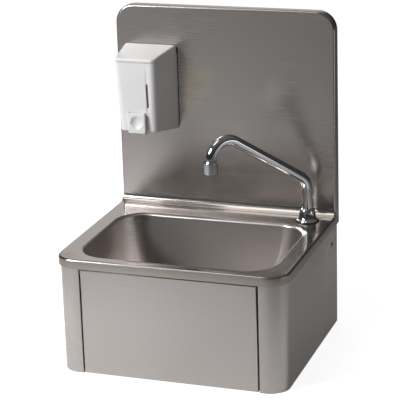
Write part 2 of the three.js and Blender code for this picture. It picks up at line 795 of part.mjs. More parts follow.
function soapButton() {
  const { half, low, high, front, back } = button;
  const middle = (high + low) / 2;
  const face = roundedRectangle(half, (high - low) / 2, 2.5, 3, 0, middle);
  const body = upright(face, [front, back], 1.2).translate([soap.x, 0, 0]);
  const dimple = new THREE.SphereGeometry(30, 24, 24).translate(soap.x, front - 28, middle + 1);
  return cut(body, solid(dimple));
}

function pumpPiston() {
  return rod('y', [button.back + gap, 113], 4, [soap.x, pump.z], 16);
}

// Assembly

add('basin_top', basinTop(), brushedSteel);
add('bowl', bowlPan(), brushedSteel);
for (const [side, name] of [[-1, 'left'], [1, 'right']]) {
  add(`${name}_side_panel`, sidePanel(side), brushedSteel);
  add(`hinge_rivet_${name}`, panelRivet(side, pivot, 5), brushedSteel);
  add(`stop_rivet_${name}`, panelRivet(side, stop, 4.5), brushedSteel);
  add(`side_screw_${name}`, sideScrew(side), brushedSteel);
}
add('wall_bracket', wallBracket(), galvanised);

add('knee_panel', kneePanel(), brushedSteel);
const padSpan = [skirtFrontY + panel.sheet + gap, plungerFront - gap];
add('knee_panel_pad', rod('y', padSpan, 10, [valve.x, valve.z]), rubber);

add('valve_bracket', valveBracket(), galvanised);
add('valve_body', valveBody(), brass);
const lockNutBack = valve.shoulder - sheet - 2 * gap;
const lockNutSpan = [lockNutBack - 6, lockNutBack];
add('valve_lock_nut', hexNut('y', lockNutSpan, 16, valve.neck + gap, [valve.x, valve.z]), brass);
add('inlet_connector_hot', inletConnector(-1), brass);
add('inlet_connector_cold', inletConnector(1), brass);
add('check_valve_hot', checkValve(-1), tankPlastic);
add('check_valve_cold', checkValve(1), tankPlastic);
add('valve_plunger', plunger(), chrome);
const plungerSpan = [plungerBack + gap, valve.neckFront - gap];
add('plunger_spring', spring(7, 0.8, plungerSpan, 4, [valve.x, valve.z]), springSteel);
add('feed_nut_valve', feedValveNut(), brass);
add('feed_tube', feedTube(), chrome);
add('feed_nut_tap', feedTapNut(), brass);

add('tap_gasket', ring('z', [deckTop + gap, gasketTop], 10.5, 20.5, tapCentre, 24), rubber);
add('tap_base', tapBase(), chrome);
const underDeckZ = deckTop - sheet - gap;
add('tap_washer', ring('z', [underDeckZ - 1.5, underDeckZ], 10.4, 16, tapCentre), galvanised);
add('tap_lock_nut', hexNut('z', [underDeckZ - 8, underDeckZ - 1.5 - gap], 15, 10.3, tapCentre), brass);
add('spout_collar_nut', collarNut(), chrome);

const spout = new THREE.Group();
spout.position.set(tap.x, tap.y, 0);
spout.rotation.z = THREE.MathUtils.degToRad(tap.direction);
basin.add(spout);
add('spout_tube', tube(spoutPath(), tap.tube, tap.bore, 32, 12), chrome, spout);
add('spout_o_ring', oRing(), rubber, spout);
add('aerator_housing', aeratorHousing(), chrome, spout);
add('aerator_insert', aeratorInsert(), tankPlastic, spout);

add('waste_strainer', wasteStrainer(), brushedSteel);
const underBowl = bowl.floor - bowl.wall - gap;
add('waste_seal', ring('z', [underBowl - 3, underBowl], 20.3, 30, drainCentre, 24), rubber);
add('waste_back_nut', hexNut('z', [underBowl - 12, underBowl - 3 - gap], 33, 20.3, drainCentre), brass);
add('waste_tail', wasteTail(), whitePlastic);

add('dispenser_backplate', dispenserBackplate(), whitePlastic);
add('dispenser_screw_lower', dispenserScrew(dispenserScrewHeights[0]), brushedSteel);
add('dispenser_screw_upper', dispenserScrew(dispenserScrewHeights[1]), brushedSteel);
add('dispenser_case', dispenserCase(), whitePlastic);
add('dispenser_lid', dispenserLid(), whitePlastic);
const pinSpan = [soap.x - 46, soap.x + 46];
add('lid_hinge_pin', rod('x', pinSpan, lidPin.radius, [lidPin.y, lidPin.z], 12), chrome);
add('level_window', levelWindow(), smokedLens);
add('soap_tank', soapTank(), tankPlastic);
add('pump_body', pumpBody(), tankPlastic);
add('pump_nozzle', pumpNozzle(), whitePlastic);
add('soap_button', soapButton(), whitePlastic);
add('pump_piston', pumpPiston(), tankPlastic);
const pumpSpan = [button.back + gap, barrelFrontY - gap];
add('pump_spring', spring(6.2, 0.6, pumpSpan, 3, [soap.x, pump.z]), springSteel);

export default basin;
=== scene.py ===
"""Knee-operated handwash basin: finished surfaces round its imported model, in metres.

The basin top, bowl, side panels, tap and soap dispenser are modelled here as folded sheet, drawn
pan, bent tube and moulded shells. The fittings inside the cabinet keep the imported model's shape,
with their edges broken and their own finishes.
"""
import json
import math

import bmesh
import bpy
from bpy.props import FloatProperty, FloatVectorProperty, IntProperty, PointerProperty
from mathutils import Matrix, Vector

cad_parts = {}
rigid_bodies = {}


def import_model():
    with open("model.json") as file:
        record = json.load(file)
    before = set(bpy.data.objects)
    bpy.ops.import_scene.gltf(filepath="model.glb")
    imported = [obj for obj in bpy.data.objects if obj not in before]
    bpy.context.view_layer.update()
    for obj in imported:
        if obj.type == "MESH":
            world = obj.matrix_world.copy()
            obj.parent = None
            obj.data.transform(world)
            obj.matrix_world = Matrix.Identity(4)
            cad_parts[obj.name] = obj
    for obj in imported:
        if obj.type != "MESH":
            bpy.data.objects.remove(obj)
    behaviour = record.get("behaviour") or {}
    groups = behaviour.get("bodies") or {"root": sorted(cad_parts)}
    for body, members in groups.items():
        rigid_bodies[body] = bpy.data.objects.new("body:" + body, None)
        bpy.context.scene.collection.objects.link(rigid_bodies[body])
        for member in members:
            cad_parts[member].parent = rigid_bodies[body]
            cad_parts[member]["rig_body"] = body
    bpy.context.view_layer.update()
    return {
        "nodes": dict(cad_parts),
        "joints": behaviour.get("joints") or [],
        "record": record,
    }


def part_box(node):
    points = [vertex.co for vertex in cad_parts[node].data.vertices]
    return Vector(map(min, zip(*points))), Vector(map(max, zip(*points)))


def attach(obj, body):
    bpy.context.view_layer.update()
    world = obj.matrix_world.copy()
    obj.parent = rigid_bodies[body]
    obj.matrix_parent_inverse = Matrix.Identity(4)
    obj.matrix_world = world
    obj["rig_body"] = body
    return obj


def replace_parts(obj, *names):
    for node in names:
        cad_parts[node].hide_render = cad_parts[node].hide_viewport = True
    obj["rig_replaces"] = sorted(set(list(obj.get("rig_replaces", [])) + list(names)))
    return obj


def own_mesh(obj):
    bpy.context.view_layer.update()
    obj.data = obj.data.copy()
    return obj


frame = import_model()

bl_info = {
    "name": "Handwash basin",
    "version": (1, 0, 0),
    "blender": (4, 5, 0),
    "location": "View3D > Sidebar > Handwash",
    "description": "Builds a knee-operated handwash basin round its packed model",
    "category": "Object",
}

NODES = frame["nodes"]
JOINTS = {joint["name"]: joint for joint in frame["joints"]}


# Measures taken from the frame

def low(node):
    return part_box(node)[0]


def high(node):
    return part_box(node)[1]


FRONT = low("basin_top").y
WALL = high("basin_top").y
HALF = high("basin_top").x
TOP = high("basin_top").z
RIM_LOW = low("basin_top").z
SKIRT_X = high("right_side_panel").x
SKIRT_FRONT = low("right_side_panel").y
PIVOT = Vector(JOINTS["spout_swivel"]["pos_m"])
BOWL_Y = (low("bowl").y + high("bowl").y) / 2
DRAIN = Vector((0.0, BOWL_Y, 0.0))


# Settings that a user would change

def length(name, text, default, **limits):
    return FloatProperty(name=name, description=text, default=default, min=0.0, unit="LENGTH", **limits)


def tint(name, text, default):
    return FloatVectorProperty(name=name, description=text, default=default, subtype="COLOR", size=3,
                               min=0, max=1)


class BasinSizes(bpy.types.PropertyGroup):
    """Sizes of the folded sheet and the drawn bowl."""
    deck: length("Deck height", "Height of the basin top above its feet", 0.202)
    sheet: length("Sheet", "Thickness of the basin top's sheet", 0.0015)
    corner: length("Front corner", "Plan radius of the two front corners", 0.036)
    splash_corner: length("Splashback corner", "Radius of the splashback's two top corners", 0.032)
    splash_depth: length("Splashback depth", "How far the splashback stands off the wall", 0.016)
    splash_inset: length("Splashback inset", "How much narrower the splashback is on each side", 0.0015)
    cove: length("Cove", "Radius between the deck and the splashback", 0.015)
    edge: length("Edge bend", "Outside bend radius along the deck's rim", 0.0023)
    bowl_x: length("Bowl half width", "Half the bowl's opening, side to side", 0.170)
    bowl_y: length("Bowl half depth", "Half the bowl's opening, front to back", 0.120)
    bowl_corner: length("Bowl corner", "Plan radius of the bowl's corners", 0.050)
    bowl_floor: length("Bowl floor", "Height of the bowl's floor", 0.072)
    lip: length("Bowl lip", "Radius of the rolled lip round the bowl", 0.004)
    column_edge: length("Column edge", "Distance of each column's inner edge from the middle", 0.155)


class TapSizes(bpy.types.PropertyGroup):
    """Sizes of the tap."""
    radius: length("Tube radius", "Outside radius of the spout tube", 0.009)
    bore: length("Tube bore", "Inside radius of the spout tube", 0.0074)
    direction: FloatProperty(name="Direction", description="Where the spout points at rest",
                             default=math.radians(230), subtype="ANGLE")
    rise: FloatProperty(name="Rise", description="Slope of the spout's long straight",
                        default=math.radians(33.2), subtype="ANGLE")
    elbow: length("Elbow", "Bend radius above the base", 0.030)
    crook: length("Crook", "Bend radius at the spout's top", 0.032)
    corner_z: length("Elbow height", "Height where the riser's and the straight's lines meet", 0.277)
    reach: length("Reach", "Distance from the riser to the outlet", 0.194)


class DispenserSizes(bpy.types.PropertyGroup):
    """Sizes of the soap dispenser."""
    wall: length("Wall", "Thickness of the moulded walls", 0.0022)
    corner: length("Corner", "Radius of the upright front corners", 0.009)
    half_back: length("Half width, back", "Half the case's width at the wall", 0.0485)
    half_top: length("Half width, top", "Half the front's width at the top", 0.0371)
    half_low: length("Half width, low", "Half the front's width at the foot", 0.0337)
    lid_line: length("Lid line", "Height of the joint between case and lid", 0.482)


class Finishes(bpy.types.PropertyGroup):
    """Colours of the finishes."""
    steel: tint("Steel", "Brushed stainless steel", (0.605, 0.568, 0.548))
    steel_dark: tint("Steel, dark", "Darker cloud in the brushed steel", (0.50, 0.468, 0.452))
    heat: tint("Heat tint", "Straw and brown tint beside the ground welds", (0.34, 0.27, 0.20))
    chrome: tint("Chrome", "Bright plating", (0.80, 0.81, 0.835))
    white: tint("White plastic", "Dispenser case", (0.91, 0.90, 0.90))
    brass: tint("Brass", "Machined fittings", (0.60, 0.43, 0.19))
    floor: tint("Floor", "Pale floor", (0.92, 0.92, 0.92))


# Mesh helpers

def ring_points(half_x, half_y, radius, z, steps=12, centre=(0.0, 0.0)):
    """A rounded rectangle's corner arcs, anticlockwise from the +X side."""
    points = []
    for quarter, (sx, sy) in enumerate(((1, 1), (-1, 1), (-1, -1), (1, -1))):
        for k in range(steps + 1):
            angle = math.pi / 2 * (quarter + k / steps)
            x = centre[0] + sx * (half_x - radius) + radius * math.cos(angle)
            y = centre[1] + sy * (half_y - radius) + radius * math.sin(angle)
            points.append(Vector((x, y, z)))
    return points


def circle_points(radius, z, count, centre=(0.0, 0.0)):
    """A circle whose points start where ring_points starts, so that the two bridge squarely."""
    turn = 2 * math.pi / count
    return [Vector((centre[0] + radius * math.cos(turn * k), centre[1] + radius * math.sin(turn * k), z))
            for k in range(count)]


def verts_in(geom):
    return [g for g in geom if isinstance(g, bmesh.types.BMVert)]


def edges_in(geom):
    return [g for g in geom if isinstance(g, bmesh.types.BMEdge)]


def add_loop(bm, points, closed=True):
    verts = [bm.verts.new(p) for p in points]
    pairs = zip(verts, verts[1:] + (verts[:1] if closed else []))
    return [bm.edges.new(pair) for pair in pairs]


def skin(bm, rings):
    """Joins each ring of points to the next, point to point; returns the first and last rings' edges."""
    loops = [[bm.verts.new(p) for p in points] for points in rings]
    for inner, outer in zip(loops, loops[1:]):
        for k in range(len(inner)):
            nxt = (k + 1) % len(inner)
            bm.faces.new((inner[k], inner[nxt], outer[nxt], outer[k]))
    ends = (loops[0], loops[-1])
    return [[bm.edges.get((v, w)) for v, w in zip(loop, loop[1:] + loop[:1])] for loop in ends]


def cap(bm, loop):
    bmesh.ops.contextual_create(bm, geom=loop)


def aim_faces(bm, inside, inwards=False):
    """Turns every face away from a point inside, or towards it."""
    bmesh.ops.recalc_face_normals(bm, faces=bm.faces)
    total = sum(f.calc_area() * f.normal.dot(f.calc_center_median() - Vector(inside)) for f in bm.faces)
    if (total < 0) != inwards:
        bmesh.ops.reverse_faces(bm, faces=bm.faces)


def bevel(bm, edges, radius, segments):
    bmesh.ops.bevel(bm, geom=list(edges), offset=radius, offset_type="OFFSET", affect="EDGES",
                    segments=segments, profile=0.5, material=-1)


def face_edges(faces):
    return {edge for face in faces for edge in face.edges}


def turn_profile(bm, profile, centre, axis="Z", steps=48):
    """Spins [radius, distance] points about an axis through the centre; the profile closes on itself."""
    along = {"X": Vector((1, 0, 0)), "Y": Vector((0, 1, 0)), "Z": Vector((0, 0, 1))}[axis]
    out = {"X": Vector((0, 1, 0)), "Y": Vector((1, 0, 0)), "Z": Vector((1, 0, 0))}[axis]
    centre = Vector(centre)
    edges = add_loop(bm, [centre + out * r + along * h for r, h in profile])
    verts = {v for e in edges for v in e.verts}
    bmesh.ops.spin(bm, geom=list(verts) + edges, cent=centre, axis=along, angle=2 * math.pi, steps=steps,
                   use_merge=True)
    bmesh.ops.remove_doubles(bm, verts=bm.verts, dist=1e-6)
    bmesh.ops.delete(bm, geom=[v for v in bm.verts if not v.link_faces], context="VERTS")
    bmesh.ops.recalc_face_normals(bm, faces=bm.faces)


def grain_map(mesh):
    """A UV map in metres whose U follows the brushing: level on upright faces, left to right on flat ones."""
    layer = mesh.uv_layers.new(name="grain")
    for face in mesh.polygons:
        n = face.normal
        flat = abs(n.z) > 0.75
        sideways = not flat and abs(n.x) > abs(n.y)
        for corner in face.loop_indices:
            x, y, z = mesh.vertices[mesh.loops[corner].vertex_index].co
            if flat:
                layer.data[corner].uv = (x, y)
            elif sideways:
                layer.data[corner].uv = (y, z)
            else:
                layer.data[corner].uv = (x, z)


def broad_flats(mesh):
    """Tells which faces belong to one of the shape's broad flats, which keep their own normal."""
    keys = [tuple(round(c, 3) for c in face.normal) for face in mesh.polygons]
    areas = {}
    for key, face in zip(keys, mesh.polygons):
        areas[key] = areas.get(key, 0.0) + face.area
    least = 0.085 * sum(areas.values())
    return [areas[key] > least for key in keys]


def piece(name, bm, material, body, replaced=(), smooth=38, wall=0.0, weighted=True):
    """Makes the finished object from a bmesh, gives it its wall and says what it stands for."""
    mesh = bpy.data.meshes.new(name)
    bm.to_mesh(mesh)
    bm.free()
    grain_map(mesh)
    mesh.polygons.foreach_set("use_smooth", [not flat for flat in broad_flats(mesh)])
    mesh.set_sharp_from_angle(angle=math.radians(smooth))
    mesh.materials.append(material)
    obj = bpy.data.objects.new(name, mesh)
    bpy.context.scene.collection.objects.link(obj)
    if wall:
        thick = obj.modifiers.new("wall", "SOLIDIFY")
        thick.thickness = wall
        thick.offset = -1.0
        thick.use_even_offset = True
    if weighted:
        normals = obj.modifiers.new("normals", "WEIGHTED_NORMAL")
        normals.keep_sharp = True
        normals.weight = 80
    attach(obj, body)
    if replaced:
        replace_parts(obj, *replaced)
    return obj


# Materials

def new_material(name):
    material = bpy.data.materials.get(name)
    if material:
        return material, None
    material = bpy.data.materials.new(name)
    material.use_nodes = True
    material.node_tree.nodes.clear()
    return material, material.node_tree


def node(tree, kind, inputs=None, **settings):
    made = tree.nodes.new(kind)
    for key, value in settings.items():
        setattr(made, key, value)
    for key, value in (inputs or {}).items():
        if isinstance(value, bpy.types.NodeSocket):
            tree.links.new(value, made.inputs[key])
        else:
            made.inputs[key].default_value = value
    return made


def pattern(tree, source, stretch, detail=3.0, rough=0.55):
    """Noise on object or grain coordinates, stretched by a mapping."""
    mapped = node(tree, "ShaderNodeMapping", {"Vector": source, "Scale": stretch})
    noise = node(tree, "ShaderNodeTexNoise", {"Vector": mapped.outputs["Vector"], "Scale": 1.0,
                                              "Detail": detail, "Roughness": rough})
    return noise.outputs["Fac"]


def ranged(tree, value, out_low, out_high, in_low=0.3, in_high=0.7):
    return node(tree, "ShaderNodeMapRange", {"Value": value, "From Min": in_low, "From Max": in_high,
                                             "To Min": out_low, "To Max": out_high}).outputs["Result"]


def mixed(tree, factor, first, second):
    mix = node(tree, "ShaderNodeMix", data_type="RGBA")
    for key, value in (("Factor", factor), ("A", first), ("B", second)):
        socket = next(s for s in mix.inputs if s.name == key and s.enabled)
        if isinstance(value, bpy.types.NodeSocket):
            tree.links.new(value, socket)
        else:
            socket.default_value = value
    return next(s for s in mix.outputs if s.enabled)


def rgba(colour):
    return (*colour, 1.0)


def surface(tree, inputs):
    shader = node(tree, "ShaderNodeBsdfPrincipled", inputs)
    node(tree, "ShaderNodeOutputMaterial", {"Surface": shader.outputs["BSDF"]})
    return shader


def near(tree, position, point, radius):
    """1 at a point, falling to 0 at the radius."""
    apart = node(tree, "ShaderNodeVectorMath", {0: position, 1: point}, operation="DISTANCE")
    return ranged(tree, apart.outputs["Value"], 1.0, 0.0, 0.0, radius)


def within(tree, position, axis, lowest, highest, soft):
    """1 between two planes across an axis, fading out over a soft edge."""
    value = node(tree, "ShaderNodeSeparateXYZ", {"Vector": position}).outputs[axis]
    rising = ranged(tree, value, 0.0, 1.0, lowest - soft, lowest)
    falling = ranged(tree, value, 1.0, 0.0, highest, highest + soft)
    return product(tree, rising, falling)


def combined(tree, operation, first, second):
    return node(tree, "ShaderNodeMath", {0: first, 1: second}, operation=operation).outputs["Value"]


def product(tree, first, second):
    return combined(tree, "MULTIPLY", first, second)


def steel(name="brushed steel", rough=0.27, aniso=0.35, cloud=0.30, stains_and_painted_light=(), strips=(), bands=(), tone=1.0):
    """Brushed stainless steel: level grain, soft clouds, and patches or strips: tint where it was ground,
    warm patches, and painted highlight, reflection or shade.

    A stain is (point, radius, colour); a strip is ((axis, lowest, highest, soft) ..., colour, strength);
    a band is ((axis, lowest, highest, soft), least, most), and adds that much roughness, or takes it away.
    """
    material, tree = new_material(name)
    if tree is None:
        return material
    look = bpy.context.scene.basin_finishes
    place = node(tree, "ShaderNodeTexCoord").outputs["Object"]
    grain = node(tree, "ShaderNodeUVMap", uv_map="grain").outputs["UV"]
    streaks = pattern(tree, grain, (7, 1300, 1), 4.0)
    lines = pattern(tree, grain, (25, 4200, 1), 2.0)
    clouds = pattern(tree, place, (5, 5, 5), 2.0, 0.45)
    rubs = pattern(tree, place, (24, 24, 50), 4.0, 0.6)
    bright, dark = (rgba(tuple(tone * c for c in shade)) for shade in (look.steel, look.steel_dark))
    colour = mixed(tree, ranged(tree, clouds, 0.0, cloud, 0.2, 0.8), bright, dark)
    colour = mixed(tree, ranged(tree, streaks, 0.0, 0.35, 0.2, 0.8), colour, dark)
    for point, radius, shade in stains_and_painted_light:
        mask = product(tree, near(tree, place, point, radius), ranged(tree, rubs, 0.15, 1.0))
        colour = mixed(tree, mask, colour, rgba(shade))
    for *spans, shade, strength in strips:
        mask = strength
        for span in spans:
            mask = product(tree, mask, within(tree, place, *span))
        colour = mixed(tree, product(tree, mask, ranged(tree, clouds, 0.75, 1.0)), colour, rgba(shade))
    gloss = combined(tree, "ADD", ranged(tree, streaks, rough - 0.02, rough + 0.03),
                     ranged(tree, clouds, -0.02, 0.02))
    for span, least, most in bands:
        change = product(tree, within(tree, place, *span), ranged(tree, rubs, least, most))
        gloss = combined(tree, "ADD", gloss, change)
    relief = combined(tree, "ADD", streaks, lines)
    bump = node(tree, "ShaderNodeBump", {"Strength": 0.03, "Distance": 0.00003, "Height": relief})
    tangent = node(tree, "ShaderNodeTangent", direction_type="UV_MAP", uv_map="grain")
    surface(tree, {"Base Color": colour, "Metallic": 1.0, "Roughness": gloss, "Anisotropic": aniso,
                   "Anisotropic Rotation": 0.25, "Normal": bump.outputs["Normal"],
                   "Tangent": tangent.outputs["Tangent"]})
    return material


def finish(name, colour, metallic, rough, spread=0.05, scale=60.0, dark=0.85, relief=0.06, **extra):
    """A material with a mottled tone, uneven gloss and a fine surface relief."""
    material, tree = new_material(name)
    if tree is None:
        return material
    place = node(tree, "ShaderNodeTexCoord").outputs["Object"]
    mottle = pattern(tree, place, (scale, scale, scale), 4.0)
    fine = pattern(tree, place, (scale * 14, scale * 14, scale * 14), 2.0)
    shade = tuple(c * dark for c in colour)
    tone = mixed(tree, ranged(tree, mottle, 0.0, 1.0), rgba(colour), rgba(shade))
    bump = node(tree, "ShaderNodeBump", {"Strength": relief, "Distance": 0.0001, "Height": fine})
    gloss = ranged(tree, mottle, rough, rough + spread)
    surface(tree, {"Base Color": tone, "Metallic": metallic, "Roughness": gloss,
                   "Normal": bump.outputs["Normal"], **extra})
    return material


def chrome():
    look = bpy.context.scene.basin_finishes
    edge = {"Specular Tint": (0.2, 0.2, 0.2, 1)}
    return finish("bright chrome", tuple(look.chrome), 1.0, 0.035, 0.05, 40, 0.97, 0.01, **edge)


def white_plastic():
    look = bpy.context.scene.basin_finishes
    return finish("white moulded plastic", tuple(look.white), 0.0, 0.30, 0.08, 30, 0.97, 0.03, IOR=1.5)


def inner_finish(slot):
    look = bpy.context.scene.basin_finishes
    makers = {
        "brass": lambda: finish("machined brass", tuple(look.brass), 1.0, 0.25, 0.18, 90, 0.7),
        "galvanised_steel": lambda: finish("zinc plate", (0.46, 0.47, 0.48), 1.0, 0.38, 0.2, 120, 0.75, 0.15),
        "black_rubber": lambda: finish("black rubber", (0.015, 0.015, 0.015), 0.0, 0.6, 0.2, 150, 0.7, 0.3),
        "natural_plastic": lambda: finish("natural plastic", (0.66, 0.66, 0.62), 0.0, 0.4, 0.1, 50, 0.94),
        "smoked_window": lambda: finish("smoked window", (0.30, 0.20, 0.175), 0.0, 0.15, 0.1, 80, 0.8, 0.02),
        "spring_steel": lambda: finish("spring wire", (0.42, 0.42, 0.43), 1.0, 0.25, 0.1, 200, 0.8),
        "chrome": chrome,
        "white_abs": white_plastic,
        "brushed_steel": steel,
    }
    return makers[slot]()


def skirt_steel(sizes):
    """Side panel steel: broader clouds, painted shade in the crease beneath the rim, and painted light at the
    top back of each side.
    """
    top = high("right_side_panel").z
    # Painted shade: a dark band along the top of each side panel, in the crease beneath the rim.
    painted_rim_shade = ((2, RIM_LOW - 0.0012, top, 0.0006), (0.16, 0.13, 0.11), 0.7)
    # Painted light: a pale patch at the top back of each side panel.
    painted_side_light = [((side * SKIRT_X, WALL - 0.035, top - 0.020), 0.11, (0.90, 0.85, 0.82)) for side in (-1, 1)]
    return steel("brushed steel, skirt", 0.28, cloud=0.55, stains_and_painted_light=painted_side_light, strips=(painted_rim_shade,))


# Basin top

def basin_sheet(sizes):
    """One folded sheet: a side profile pushed across, its corners rounded, hollow behind."""
    splash_y = WALL - sizes.splash_depth
    cove_y, cove_z = splash_y - sizes.cove, sizes.deck + sizes.cove
    arc = [(cove_y + sizes.cove * math.sin(a), cove_z - sizes.cove * math.cos(a))
           for a in (math.pi / 2 * k / 10 for k in range(11))]
    outline = [(FRONT, RIM_LOW), (FRONT, sizes.deck), *arc, (splash_y, TOP), (WALL, TOP), (WALL, RIM_LOW)]
    bm = bmesh.new()
    face = bm.faces.new([bm.verts.new((-HALF, y, z)) for y, z in outline])
    pushed = bmesh.ops.extrude_face_region(bm, geom=[face])["geom"]
    bmesh.ops.translate(bm, verts=verts_in(pushed), vec=(2 * HALF, 0, 0))
    bmesh.ops.recalc_face_normals(bm, faces=bm.faces)

    def edges_along(axis, test):
        return [e for e in bm.edges if abs((e.verts[0].co - e.verts[1].co).normalized()[axis]) > 0.99
                and all(test(v.co) for v in e.verts)]

    at_front = edges_along(2, lambda p: p.y < FRONT + 1e-5 and p.z < sizes.deck + 1e-5)
    bevel(bm, at_front, sizes.corner, 18)
    at_top = edges_along(1, lambda p: p.z > TOP - 1e-5)
    bevel(bm, at_top, sizes.splash_corner, 18)

    def open_side(f):
        return f.normal.z < -0.9 or (f.normal.y > 0.9 and f.calc_center_median().y > cove_y)

    bmesh.ops.delete(bm, geom=[f for f in bm.faces if open_side(f)], context="FACES")

    def outer_skin(f):
        centre = f.calc_center_median()
        if abs(f.normal.x) > 0.05 and centre.z > sizes.deck - 0.001 and centre.y > cove_y - 0.02:
            return False
        on_deck = f.normal.z > 0.2 and centre.z < cove_z and centre.y < splash_y
        on_splash = f.normal.y < -0.2 and sizes.deck < centre.z and centre.y < splash_y + 0.001
        return on_deck or on_splash

    skin_faces = {f for f in bm.faces if outer_skin(f)}
    fold = [e for e in bm.edges if len(e.link_faces) == 2 and len(skin_faces & set(e.link_faces)) == 1]
    bevel(bm, fold, sizes.edge, 5)

    above_deck = [v for v in bm.verts if v.co.z > sizes.deck + 0.0045]
    for vert in above_deck:
        vert.co.x *= (HALF - sizes.splash_inset) / HALF

    top = max((f for f in bm.faces if f.normal.z > 0.99), key=lambda f: f.calc_area())
    border = list(top.edges)
    bmesh.ops.delete(bm, geom=[top], context="FACES_ONLY")
    reach = sizes.lip * 0.6
    opening = ring_points(sizes.bowl_x + reach, sizes.bowl_y + reach, sizes.bowl_corner + reach, sizes.deck,
                          14, (0, BOWL_Y))
    bowl_hole = add_loop(bm, opening)
    tap_hole = add_loop(bm, circle_points(0.011, sizes.deck, 24, PIVOT.xy))
    bmesh.ops.triangle_fill(bm, edges=border + bowl_hole + tap_hole, use_beauty=True, normal=(0, 0, 1))
    aim_faces(bm, (0, 0, 0))
    return bm


def bowl_pan(sizes):
    """Drawn pan: rolled lip, tapering wall, wide bottom radius and a floor that runs to the drain."""
    lip, top = sizes.lip, sizes.deck
    reach = lip * 0.6
    rings = [(-reach - 0.0015, top - 0.00004, 0.0)]
    for k in range(7):
        angle = math.pi / 2 * k / 6
        rings.append((-reach + lip * math.sin(angle), top - lip * (1 - math.cos(angle)), 0.0))
    taper, foot_bend = 0.016, 0.040
    wall_top = top - lip
    wall_foot = sizes.bowl_floor + foot_bend
    for k in range(1, 5):
        share = k / 5
        inset = lip - reach + (taper - lip + reach) * share
        rings.append((inset, wall_top + (wall_foot - wall_top) * share, share))
    for k in range(9):
        angle = math.pi / 2 * k / 8
        inset = taper + foot_bend * (1 - math.cos(angle))
        rings.append((inset, sizes.bowl_floor + foot_bend * (1 - math.sin(angle)), 1.0))
    loops = []
    steps = 14
    for inset, z, share in rings:
        corner = sizes.bowl_corner - inset * (1 - share)
        loops.append(ring_points(sizes.bowl_x - inset, sizes.bowl_y - inset, corner, z, steps, (0, BOWL_Y)))
    count = len(loops[0])
    for radius, drop in ((0.046, 0.0006), (0.036, 0.0012), (0.033, 0.0022), (0.022, 0.0026)):
        loops.append(circle_points(radius, sizes.bowl_floor - drop, count, DRAIN.xy))
    bm = bmesh.new()
    skin(bm, loops)
    aim_faces(bm, (0, BOWL_Y, sizes.deck - 0.02), inwards=True)
    return bm


def side_sheet(sizes, side):
    """Wall flange, flat side, rounded front corner, column face and the return beside the knee panel."""
    top = high("right_side_panel").z
    back = low("right_side_panel").x
    flange, turned_in, tight_bend = 0.015, 0.0242, 0.0018
    outline = [(SKIRT_X - flange, WALL), (SKIRT_X, WALL), (SKIRT_X, SKIRT_FRONT),
               (sizes.column_edge, SKIRT_FRONT), (sizes.column_edge, SKIRT_FRONT + turned_in)]
    bm = bmesh.new()
    chain = add_loop(bm, [Vector((x, y, 0.0)) for x, y in outline], closed=False)
    raised = bmesh.ops.extrude_edge_only(bm, edges=chain)["geom"]
    bmesh.ops.translate(bm, verts=verts_in(raised), vec=(0, 0, top))

    def upright_folds(test):
        return [e for e in bm.edges if abs(e.verts[0].co.z - e.verts[1].co.z) > top / 2
                and len(e.link_faces) == 2 and test(e.verts[0].co)]

    corner = upright_folds(lambda p: p.x > SKIRT_X - 1e-4 and p.y < 0)
    bevel(bm, corner, sizes.corner - (HALF - SKIRT_X), 18)
    tight = upright_folds(lambda p: p.y > WALL - 1e-4 or p.x < sizes.column_edge + 1e-4)
    bevel(bm, tight, tight_bend, 4)
    if side < 0:
        bmesh.ops.scale(bm, vec=(-1, 1, 1), verts=bm.verts)
    aim_faces(bm, (side * (back + SKIRT_X) / 2, 0, top / 2))
    return bm


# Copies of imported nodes, merged, with their edges broken

def cleaned_copy(node_name, flatness=1.0):
    bm = bmesh.new()
    bm.from_mesh(NODES[node_name].data)
    bmesh.ops.remove_doubles(bm, verts=bm.verts, dist=2e-6)
    bmesh.ops.dissolve_limit(bm, angle_limit=math.radians(flatness), verts=bm.verts, edges=bm.edges)
    return bm


def broken_edges(node_name, width=0.0004, sharp=40):
    """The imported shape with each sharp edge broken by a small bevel."""
    bm = cleaned_copy(node_name)
    edges = [e for e in bm.edges if len(e.link_faces) == 2 and e.calc_face_angle(0) > math.radians(sharp)
             and e.calc_length() > 3 * width]
    bevel(bm, edges, width, 2)
    bmesh.ops.remove_doubles(bm, verts=bm.verts, dist=1e-6)
    return bm


# Tap

def run(bm, loop, vector):
    """Carries the tube's open end straight on, and returns its new end."""
    made = bmesh.ops.extrude_edge_only(bm, edges=loop)["geom"]
    bmesh.ops.translate(bm, verts=verts_in(made), vec=vector)
    return edges_in(made)


def bend(bm, loop, centre, axis, angle, steps):
    """Carries the tube's open end round a bend, and returns its new end."""
    verts = {v for e in loop for v in e.verts}
    made = bmesh.ops.spin(bm, geom=list(verts) + loop, cent=centre, axis=axis, angle=angle, steps=steps)
    return edges_in(made["geom_last"])


